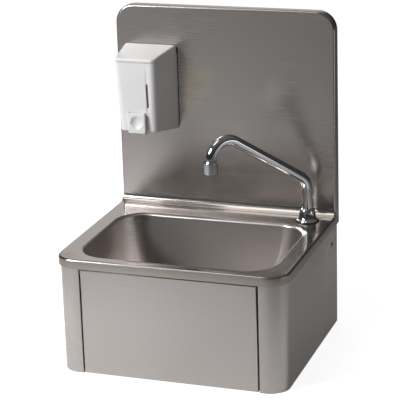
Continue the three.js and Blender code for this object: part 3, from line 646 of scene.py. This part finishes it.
def spout(tap):
    """Riser, elbow, long straight and crook, as one bent tube with an open bore."""
    ahead = Vector((math.cos(tap.direction), math.sin(tap.direction), 0))
    up = Vector((0, 0, 1))
    swing = up.cross(ahead)
    elbow_turn = math.pi / 2 - tap.rise
    crook_turn = math.pi - elbow_turn
    start = Vector((PIVOT.x, PIVOT.y, low("spout_tube").z))
    riser = tap.corner_z - tap.elbow * math.tan(elbow_turn / 2) - start.z
    slope = math.cos(tap.rise) * ahead + math.sin(tap.rise) * up
    straight = (tap.reach / math.cos(tap.rise) - tap.elbow * math.tan(elbow_turn / 2)
                - tap.crook * math.tan(crook_turn / 2))
    bm = bmesh.new()
    first = bmesh.ops.create_circle(bm, cap_ends=False, segments=36, radius=tap.radius,
                                    matrix=Matrix.Translation(start))["verts"]
    outer = [e for e in bm.edges if e.verts[0] in first]
    loop = run(bm, outer, up * riser)
    place = start + up * riser
    loop = bend(bm, loop, place + ahead * tap.elbow, swing, elbow_turn, 14)
    place = place + ahead * tap.elbow
    place = place + (Matrix.Rotation(elbow_turn, 3, swing) @ (-ahead)) * tap.elbow
    for _ in range(3):
        loop = run(bm, loop, slope * straight / 3)
    place = place + slope * straight
    inward = math.sin(tap.rise) * ahead - math.cos(tap.rise) * up
    loop = bend(bm, loop, place + inward * tap.crook, swing, crook_turn, 26)
    end_z = sum(v.co.z for e in loop for v in e.verts) / (2 * len(loop))
    inside_aerator = high("aerator_housing").z - 0.010
    run(bm, loop, up * (inside_aerator - end_z))
    aim_faces(bm, (PIVOT.x, PIVOT.y, start.z + riser / 2))
    return bm


def gasket_profile():
    """Flat ring whose edge bulges up round the base."""
    z0, z1 = low("tap_gasket").z, high("tap_gasket").z
    return [(0.0105, z0), (0.0203, z0), (0.0206, z1 - 0.0004), (0.0205, z1 + 0.0008), (0.0200, z1 + 0.0013),
            (0.0195, z1 + 0.0010), (0.0195, z1), (0.0105, z1)]


def tap_base_profile():
    """Bored stem and concave flare, up to the seat beneath the spout."""
    foot = high("tap_gasket").z + 0.0003
    flare = [(0.0192, foot), (0.0192, foot + 0.0010), (0.0186, foot + 0.0018), (0.0172, foot + 0.0028),
             (0.0160, foot + 0.0042), (0.0151, foot + 0.0058), (0.0146, foot + 0.0072),
             (0.0125, foot + 0.0075)]
    top = high("tap_base").z
    bottom = low("tap_base").z
    return [(0.0053, bottom), (0.0100, bottom), (0.0100, foot), *flare, (0.0125, top), (0.0113, top),
            (0.0113, low("spout_tube").z - 0.0015), (0.0053, low("spout_tube").z - 0.0015)]


def collar_nut():
    """Six-sided nut with broken corners, bored for the tube, and a domed crown turned on its top."""
    lo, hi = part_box("spout_collar_nut")
    across, bore = (hi.y - lo.y) / 2 - 0.0001, 0.0128
    flat_top = lo.z + 0.0085
    bm = bmesh.new()
    middle = Matrix.Translation((PIVOT.x, PIVOT.y, (lo.z + flat_top) / 2))
    bmesh.ops.create_cone(bm, cap_ends=False, segments=6, radius1=across, radius2=across,
                          depth=flat_top - lo.z, matrix=middle)
    outer = list(bm.edges)
    rims = [[e for e in outer if all(abs(v.co.z - z) < 1e-6 for v in e.verts)] for z in (lo.z, flat_top)]
    bores = [add_loop(bm, circle_points(bore, z, 36, PIVOT.xy)) for z in (lo.z, flat_top)]
    for rim, hole, facing in zip(rims, bores, (-1, 1)):
        bmesh.ops.triangle_fill(bm, edges=rim + hole, use_beauty=True, normal=(0, 0, facing))
    bmesh.ops.bridge_loops(bm, edges=bores[0] + bores[1])
    bevel(bm, outer, 0.0007, 3)
    inner, land, dome = 0.0093, 0.0004, 0.0038
    crown = [(inner, flat_top - land), (0.0136, flat_top - land)]
    rise = hi.z - flat_top
    for k in range(9):
        angle = math.pi / 2 * k / 8
        radius = inner + land + dome * math.cos(angle)
        crown.append((radius, flat_top + land + (rise - land) * math.sin(angle)))
    crown.append((inner, hi.z - 0.0002))
    turn_profile(bm, crown, (PIVOT.x, PIVOT.y, 0))
    return bm


def aerator():
    """Turned housing on the spout's end, bored through."""
    lo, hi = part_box("aerator_housing")
    z0, z1 = lo.z, hi.z
    profile = [(0.0098, z0), (0.0112, z0), (0.0118, z0 + 0.0006), (0.0120, z0 + 0.0014),
               (0.0120, z1 - 0.0040), (0.0117, z1 - 0.0030), (0.0112, z1 - 0.0022), (0.0105, z1 - 0.0008),
               (0.0098, z1), (0.0092, z1), (0.0092, z1 - 0.011), (0.0098, z1 - 0.0115)]
    centre = (lo + hi) / 2
    bm = bmesh.new()
    turn_profile(bm, profile, (centre.x, centre.y, 0))
    return bm


# Soap dispenser

def soap_x():
    return (low("dispenser_case").x + high("dispenser_case").x) / 2


def leaning_box(sizes, back_y, low_end, high_end):
    """The leaning box, open behind; each end has a height in front and a height at the splashback."""
    case_back = WALL - 0.016
    foot, head = 0.355, 0.489
    foot_y, head_y = 0.079, 0.069
    bm = bmesh.new()
    corners = {}
    for level, (zf, zb) in enumerate((low_end, high_end)):
        share = (zf - foot) / (head - foot)
        front_y = foot_y + (head_y - foot_y) * share
        half = sizes.half_low + (sizes.half_top - sizes.half_low) * share
        spread = (back_y - front_y) / (case_back - front_y)
        half_back = half + (sizes.half_back - half) * spread
        back_z = zf + (zb - zf) * spread
        for sx in (-1, 1):
            corners[(level, sx, 0)] = bm.verts.new((soap_x() + sx * half, front_y, zf))
            corners[(level, sx, 1)] = bm.verts.new((soap_x() + sx * half_back, back_y, back_z))
    quads = {
        "front": [(0, -1, 0), (0, 1, 0), (1, 1, 0), (1, -1, 0)],
        "left": [(0, -1, 0), (1, -1, 0), (1, -1, 1), (0, -1, 1)],
        "right": [(0, 1, 0), (0, 1, 1), (1, 1, 1), (1, 1, 0)],
        "floor": [(0, -1, 0), (0, -1, 1), (0, 1, 1), (0, 1, 0)],
        "roof": [(1, -1, 0), (1, 1, 0), (1, 1, 1), (1, -1, 1)],
    }
    faces = {key: bm.faces.new([corners[c] for c in quad]) for key, quad in quads.items()}
    return bm, faces


def shared_edges(first, second):
    return [e for e in first.edges if second in e.link_faces]


def cut_window(bm, x_range, z_range, faces_test):
    """Scores lines across the tested faces and removes what lies between them."""
    for axis, values in ((0, x_range), (2, z_range)):
        for value in values:
            chosen = [f for f in bm.faces if faces_test(f)]
            geom = list({v for f in chosen for v in f.verts} | face_edges(chosen)) + chosen
            normal = Vector((0, 0, 0))
            normal[axis] = 1.0
            point = Vector((0, 0, 0))
            point[axis] = value
            bmesh.ops.bisect_plane(bm, geom=geom, plane_co=point, plane_no=normal, dist=1e-7)
    gone = [f for f in bm.faces if faces_test(f) and x_range[0] < f.calc_center_median().x < x_range[1]
            and z_range[0] < f.calc_center_median().z < z_range[1]]
    bmesh.ops.delete(bm, geom=gone, context="FACES")


def dispenser_case(sizes):
    """Moulded case, open above, with holes for the level window and the button."""
    top = sizes.lid_line - 0.0004
    foot_front, foot_back = 0.357, 0.346
    bm, faces = leaning_box(sizes, high("dispenser_case").y, (foot_front, foot_back), (top, top))
    bmesh.ops.delete(bm, geom=[faces.pop("roof")], context="FACES")
    upright = shared_edges(faces["front"], faces["left"]) + shared_edges(faces["front"], faces["right"])
    bevel(bm, upright, sizes.corner, 10)
    floor = [f for f in bm.faces if f.normal.z < -0.7]
    foot = [e for f in floor for e in f.edges if len(e.link_faces) == 2]
    bevel(bm, foot, 0.0016, 3)
    aim_faces(bm, (soap_x(), 0.11, 0.42))
    middle = soap_x()
    window_x, window_z = (middle + 0.0185, middle + 0.0225), (0.401, 0.444)
    cut_window(bm, window_x, window_z, lambda f: f.normal.y < -0.9)
    half = (high("soap_button").x - low("soap_button").x) / 2 + 0.0005
    cut_window(bm, (middle - half, middle + half), (0.30, high("soap_button").z + 0.0005),
               lambda f: f.normal.y < -0.05 and f.calc_center_median().y < 0.09)
    return bm


def dispenser_lid(sizes):
    """Moulded lid whose roof climbs towards the splashback."""
    back = high("dispenser_lid").y
    roof_front, roof_back = 0.489, 0.498
    bm, faces = leaning_box(sizes, back, (sizes.lid_line, sizes.lid_line), (roof_front, roof_back))
    bmesh.ops.delete(bm, geom=[faces.pop("floor")], context="FACES")
    upright = shared_edges(faces["front"], faces["left"]) + shared_edges(faces["front"], faces["right"])
    bevel(bm, upright, sizes.corner, 10)
    roof = max((f for f in bm.faces if abs(f.normal.z) > 0.9), key=lambda f: f.calc_area())
    rim = [e for e in roof.edges if len(e.link_faces) == 2]
    bevel(bm, rim, 0.0038, 6)
    aim_faces(bm, (soap_x(), 0.11, 0.45))
    return bm


def soap_button():
    """Square push button with a round finger dimple in its face."""
    lo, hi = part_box("soap_button")
    centre = (lo + hi) / 2
    half_x, half_z = (hi.x - lo.x) / 2, (hi.z - lo.z) / 2
    edge, dish, depth = 0.0012, 0.0112, 0.0036
    outline = [(half_x, half_z, 0.0028, hi.y), (half_x, half_z, 0.0028, lo.y + edge)]
    for k in range(1, 4):
        angle = math.pi / 2 * k / 3
        inset = edge * (1 - math.cos(angle))
        outline.append((half_x - inset, half_z - inset, 0.0028, lo.y + edge * (1 - math.sin(angle))))
    steps = 8
    loops = [[Vector((p.x + centre.x, y, p.y + centre.z)) for p in ring_points(a, b, r, 0, steps)]
             for a, b, r, y in outline]
    count = len(loops[0])
    for share in (1.06, 1.0, 0.92, 0.8, 0.6, 0.4, 0.2, 0.06):
        sunk = 0.0001 * (2 - share) + depth * max(0.0, 1 - share * share) ** 0.8
        loops.append([Vector((p.x + centre.x, lo.y + sunk, p.y + centre.z + 0.001))
                      for p in circle_points(dish * share, 0, count)])
    bm = bmesh.new()
    first, last = skin(bm, loops)
    cap(bm, first)
    cap(bm, last)
    aim_faces(bm, centre)
    return bm


# Springs

def coil(node_name, turns, wire, steps=16, sides=8):
    """A close copy of a packed spring along Y: a small circle carried round a helix."""
    lo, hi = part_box(node_name)
    centre = (lo + hi) / 2
    radius = (hi.x - lo.x) / 2 - wire
    length_y = hi.y - lo.y - 2 * wire
    loops = []
    for k in range(turns * steps + 1):
        angle = 2 * math.pi * k / steps
        out = Vector((math.cos(angle), 0, math.sin(angle)))
        place = centre + out * radius
        place.y = lo.y + wire + length_y * k / (turns * steps)
        loops.append([place + out * wire * math.cos(t) + Vector((0, wire * math.sin(t), 0))
                      for t in (2 * math.pi * s / sides for s in range(sides))])
    bm = bmesh.new()
    first, last = skin(bm, loops)
    cap(bm, first)
    cap(bm, last)
    bmesh.ops.recalc_face_normals(bm, faces=bm.faces)
    return bm


# Operators: one for each piece or group of like pieces

class HandwashOperator:
    bl_options = {"REGISTER", "UNDO"}

    def execute(self, context):
        self.build(context.scene)
        return {"FINISHED"}


class HANDWASH_OT_basin_top(HandwashOperator, bpy.types.Operator):
    """Fold the basin top and splashback from one sheet"""
    bl_idname = "handwash.basin_top"
    bl_label = "Basin top"

    def build(self, scene):
        sizes = scene.basin_sizes
        heat = tuple(scene.basin_finishes.heat)
        stains_and_painted_light = [((side * (HALF - 0.010), FRONT + 0.010, sizes.deck - 0.008), 0.034, heat)
                  for side in (-1, 1)]
        splash_y = WALL - sizes.splash_depth
        straw = (0.78, 0.69, 0.57)
        stains_and_painted_light += [((-0.070, splash_y, 0.412), 0.055, straw), ((-0.045, splash_y, 0.440), 0.040, straw)]
        # Painted light: a pale patch on the lower middle of the splashback, lifting a dark reflection.
        stains_and_painted_light += [((0.010, splash_y, 0.270), 0.110, (0.86, 0.80, 0.77))]
        cove_y = splash_y - sizes.cove
        rim_tone = (0.33, 0.29, 0.25)
        rim = ((2, 0.0, sizes.deck - 0.0030, 0.001), rim_tone, 0.75)
        case_edge = soap_x() + scene.dispenser_sizes.half_back
        # Painted shadow: a dark line on the splashback along the case's right edge, where the gap behind the
        # case is in shade.
        painted_shadow_across = (0, case_edge, case_edge + 0.0016, 0.0004)
        painted_shadow_height = (2, 0.350, 0.492, 0.003)
        painted_case_shadow = (painted_shadow_across, painted_shadow_height, (0.06, 0.055, 0.05), 1.0)
        low_deck = (2, sizes.deck - 0.002, sizes.deck + 0.004, 0.001)
        # Painted reflection: a warm bright line on the deck just below the cove, where the deck mirrors the
        # cove's highlight.
        painted_cove_reflection = (low_deck, (1, cove_y - 0.0060, cove_y - 0.0035, 0.001), (0.78, 0.66, 0.50), 0.9)
        # Painted shade: a dark brown line at the foot of the cove, between two highlights.
        painted_cove_shade = (low_deck, (1, cove_y - 0.0012, cove_y + 0.0010, 0.001), (0.22, 0.17, 0.12), 0.8)
        in_cove = (2, sizes.deck + 0.0010, sizes.deck + 0.0120, 0.002)
        # Painted highlight: a pale band along the cove.
        painted_cove_highlight = (in_cove, (1, cove_y, splash_y, 0.001), (0.84, 0.80, 0.76), 0.9)
        bands = (((2, 0.0, sizes.deck - 0.0010, 0.001), 0.03, 0.10), (in_cove, -0.11, -0.09))
        material = steel("brushed steel, top", 0.25, stains_and_painted_light=stains_and_painted_light, bands=bands,
                         strips=(rim, painted_cove_reflection, painted_cove_highlight, painted_cove_shade, painted_case_shadow))
        piece("basin_sheet", basin_sheet(sizes), material, "cabinet", ["basin_top"],
              wall=sizes.sheet)


class HANDWASH_OT_bowl(HandwashOperator, bpy.types.Operator):
    """Draw the bowl with its rolled lip"""
    bl_idname = "handwash.bowl"
    bl_label = "Bowl"

    def build(self, scene):
        material = steel("satin steel, bowl", 0.30, aniso=0.2, tone=1.08)
        piece("bowl_pan", bowl_pan(scene.basin_sizes), material, "cabinet", ["bowl"],
              wall=0.0012, smooth=60)


class HANDWASH_OT_side_panels(HandwashOperator, bpy.types.Operator):
    """Bend the two side panels with their rounded front columns"""
    bl_idname = "handwash.side_panels"
    bl_label = "Side panels"

    def build(self, scene):
        sizes = scene.basin_sizes
        for side, name in ((-1, "left"), (1, "right")):
            piece(f"{name}_skirt", side_sheet(sizes, side), skirt_steel(sizes), "cabinet",
                  [f"{name}_side_panel"], wall=sizes.sheet)


class HANDWASH_OT_knee_panel(HandwashOperator, bpy.types.Operator):
    """Fold the knee panel's tray edges"""
    bl_idname = "handwash.knee_panel"
    bl_label = "Knee panel"

    def build(self, scene):
        bm = cleaned_copy("knee_panel")
        front = low("knee_panel").y
        edges = [e for e in bm.edges if all(abs(v.co.y - front) < 1e-5 for v in e.verts)
                 and len(e.link_faces) == 2 and e.calc_face_angle(0) > 1.0]
        bevel(bm, edges, 0.0014, 4)
        piece("knee_push_panel", bm, steel("brushed steel, panel", 0.30), "knee_panel",
              ["knee_panel"])


class HANDWASH_OT_tap(HandwashOperator, bpy.types.Operator):
    """Turn the tap's base, nut and aerator, and bend its spout"""
    bl_idname = "handwash.tap"
    bl_label = "Tap"

    def build(self, scene):
        base = bmesh.new()
        turn_profile(base, tap_base_profile(), (PIVOT.x, PIVOT.y, 0))
        piece("flared_base", base, chrome(), "cabinet", ["tap_base"])
        piece("domed_collar_nut", collar_nut(), chrome(), "cabinet", ["spout_collar_nut"])
        gasket = bmesh.new()
        turn_profile(gasket, gasket_profile(), (PIVOT.x, PIVOT.y, 0))
        piece("base_gasket", gasket, inner_finish("black_rubber"), "cabinet", ["tap_gasket"])
        piece("bent_spout", spout(scene.tap_sizes), chrome(), "spout", ["spout_tube"], smooth=60,
              wall=scene.tap_sizes.radius - scene.tap_sizes.bore)
        piece("aerator_shell", aerator(), chrome(), "spout", ["aerator_housing"])


class HANDWASH_OT_dispenser(HandwashOperator, bpy.types.Operator):
    """Mould the soap dispenser's case, lid and button"""
    bl_idname = "handwash.dispenser"
    bl_label = "Soap dispenser"

    def build(self, scene):
        sizes = scene.dispenser_sizes
        piece("case_shell", dispenser_case(sizes), white_plastic(), "cabinet",
              ["dispenser_case"], wall=sizes.wall)
        piece("lid_shell", dispenser_lid(sizes), white_plastic(), "dispenser_lid",
              ["dispenser_lid"], wall=sizes.wall)
        piece("push_button", soap_button(), white_plastic(), "soap_button", ["soap_button"],
              smooth=50)


class HANDWASH_OT_springs(HandwashOperator, bpy.types.Operator):
    """Wind the plunger's and the pump's springs"""
    bl_idname = "handwash.springs"
    bl_label = "Springs"

    def build(self, scene):
        for node_name, joint, turns, wire in (("plunger_spring", "valve_plunger_slide", 4, 0.0008),
                                              ("pump_spring", "soap_button_push", 3, 0.0006)):
            obj = piece(f"{node_name}_wire", coil(node_name, turns, wire), inner_finish("spring_steel"),
                        "cabinet", [node_name], smooth=80, weighted=False)
            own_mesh(obj)


class HANDWASH_OT_fittings(HandwashOperator, bpy.types.Operator):
    """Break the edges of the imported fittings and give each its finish"""
    bl_idname = "handwash.fittings"
    bl_label = "Fittings"

    def build(self, scene):
        shown = {name for obj in bpy.data.objects for name in obj.get("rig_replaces", ())}
        slots = {part["node"]: part["material_slot"] for part in frame["record"]["subparts"]}
        for name in sorted(NODES):
            if name in shown:
                continue
            piece(f"{name}_finished", broken_edges(name), inner_finish(slots[name]), NODES[name]["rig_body"],
                  [name])


class HANDWASH_OT_stage(HandwashOperator, bpy.types.Operator):
    """Lay the pale floor, hang the soft lights and set the camera"""
    bl_idname = "handwash.stage"
    bl_label = "Stage"

    def build(self, scene):
        build_floor(scene)
        build_lights(scene)
        build_camera(scene)


def build_floor(scene):
    bm = bmesh.new()
    bmesh.ops.create_circle(bm, cap_ends=True, segments=96, radius=5.0,
                            matrix=Matrix.Translation((0, 0, -0.0002)))
    mesh = bpy.data.meshes.new("floor")
    bm.to_mesh(mesh)
    bm.free()
    floor = bpy.data.objects.new("floor", mesh)
    scene.collection.objects.link(floor)
    material, tree = new_material("pale floor")
    place = node(tree, "ShaderNodeTexCoord").outputs["Object"]
    fleck = pattern(tree, place, (30, 30, 30), 3.0)
    colour = tuple(scene.basin_finishes.floor)
    # To the camera the floor is evenly pale; to other rays it darkens past half a metre out as painted shade,
    # and its left side glows as painted light that fills the basin from the left.
    direct = node(tree, "ShaderNodeLightPath").outputs["Is Camera Ray"]
    away = node(tree, "ShaderNodeVectorMath", {0: place}, operation="LENGTH").outputs["Value"]
    spread = ranged(tree, away, 1.0, 0.0, 0.50, 0.95)
    beyond = mixed(tree, spread, (0.07, 0.068, 0.066, 1), rgba(tuple(0.86 * c for c in colour)))
    tone = mixed(tree, ranged(tree, fleck, 0.0, 0.3), rgba(colour), rgba(tuple(c * 0.97 for c in colour)))
    shown = mixed(tree, direct, beyond, tone)
    across = node(tree, "ShaderNodeSeparateXYZ", {"Vector": place}).outputs["X"]
    left_glow = ranged(tree, across, 0.34, 0.10, -0.45, 0.0)
    left_glow = product(tree, left_glow, ranged(tree, away, 1.0, 0.6, 1.0, 1.4))
    glow = combined(tree, "MAXIMUM", left_glow, direct)
    glow = combined(tree, "MINIMUM", glow, 0.86)
    surface(tree, {"Base Color": shown, "Roughness": 0.8, "Emission Color": (1, 1, 1, 1),
                   "Emission Strength": glow})
    mesh.materials.append(material)


def softbox(scene, name, place, target, size, power):
    lamp = bpy.data.lights.new(name, "AREA")
    lamp.shape = "RECTANGLE"
    lamp.size, lamp.size_y = size
    lamp.energy = power
    obj = bpy.data.objects.new(name, lamp)
    scene.collection.objects.link(obj)
    obj.location = place
    obj.rotation_euler = (Vector(target) - Vector(place)).to_track_quat("-Z", "Y").to_euler()


def build_lights(scene):
    softbox(scene, "key", (-1.41, -1.41, 1.50), (0, 0, 0.3), (0.8, 0.8), 46)
    softbox(scene, "overhead", (-0.6, -0.4, 2.2), (0, 0.1, 0.2), (1.2, 0.9), 3.8)
    softbox(scene, "right strip", (1.25, -0.15, 0.22), (0.1, 0.1, 0.27), (0.4, 0.4), 0.5)
    world = bpy.data.worlds.new("studio")
    scene.world = world
    world.use_nodes = True
    tree = world.node_tree
    tree.nodes.clear()
    direct = node(tree, "ShaderNodeLightPath").outputs["Is Camera Ray"]
    aim = node(tree, "ShaderNodeTexCoord").outputs["Generated"]
    axes = node(tree, "ShaderNodeSeparateXYZ", {"Vector": aim}).outputs
    room = mixed(tree, ranged(tree, axes["Z"], 0.0, 1.0, 0.1, 0.9), (0.025, 0.025, 0.025, 1),
                 (0.13, 0.128, 0.125, 1))
    behind_left = product(tree, ranged(tree, axes["Y"], 0.0, 1.0, 0.5, 0.8),
                          ranged(tree, axes["X"], 1.0, 0.0, -0.2, 0.0))
    room = mixed(tree, behind_left, room, (0.62, 0.60, 0.585, 1))
    tone = mixed(tree, direct, room, (1, 1, 1, 1))
    backdrop = node(tree, "ShaderNodeBackground", {"Color": tone, "Strength": 1.0})
    node(tree, "ShaderNodeOutputWorld", {"Surface": backdrop.outputs["Background"]})


def build_camera(scene):
    azimuth, elevation, roll = math.radians(19.447), math.radians(17.936), math.radians(-1.715)
    back = Vector((math.sin(azimuth) * math.cos(elevation), -math.cos(azimuth) * math.cos(elevation),
                   math.sin(elevation)))
    right = Vector((math.cos(azimuth), math.sin(azimuth), 0))
    up = back.cross(right)
    tilted_right = math.cos(roll) * right + math.sin(roll) * up
    tilted_up = -math.sin(roll) * right + math.cos(roll) * up
    camera = bpy.data.cameras.new("camera")
    camera.sensor_width = 36
    camera.lens = 151.74
    obj = bpy.data.objects.new("camera", camera)
    scene.collection.objects.link(obj)
    turned = Matrix((tilted_right, tilted_up, back)).transposed().to_4x4()
    obj.matrix_world = Matrix.Translation((0.91123, -2.57396, 1.14963)) @ turned
    scene.camera = obj
    scene.view_settings.view_transform = "Standard"


class HANDWASH_PT_panel(bpy.types.Panel):
    """Lists the pieces in the sidebar"""
    bl_idname = "HANDWASH_PT_panel"
    bl_label = "Handwash basin"
    bl_space_type = "VIEW_3D"
    bl_region_type = "UI"
    bl_category = "Handwash"

    def draw(self, context):
        for operator in OPERATORS:
            self.layout.operator(operator.bl_idname)


OPERATORS = (HANDWASH_OT_basin_top, HANDWASH_OT_bowl, HANDWASH_OT_side_panels, HANDWASH_OT_knee_panel,
             HANDWASH_OT_tap, HANDWASH_OT_dispenser, HANDWASH_OT_springs, HANDWASH_OT_fittings,
             HANDWASH_OT_stage)
GROUPS = {"basin_sizes": BasinSizes, "tap_sizes": TapSizes, "dispenser_sizes": DispenserSizes,
          "basin_finishes": Finishes}


def register():
    for group in GROUPS.values():
        bpy.utils.register_class(group)
    for operator in OPERATORS:
        bpy.utils.register_class(operator)
    bpy.utils.register_class(HANDWASH_PT_panel)
    for name, group in GROUPS.items():
        setattr(bpy.types.Scene, name, PointerProperty(type=group))


def unregister():
    for name in GROUPS:
        delattr(bpy.types.Scene, name)
    bpy.utils.unregister_class(HANDWASH_PT_panel)
    for operator in reversed(OPERATORS):
        bpy.utils.unregister_class(operator)
    for group in GROUPS.values():
        bpy.utils.unregister_class(group)


def main():
    register()
    for operator in OPERATORS:
        area, name = operator.bl_idname.split(".")
        getattr(getattr(bpy.ops, area), name)()


if __name__ == "__main__":
    main()
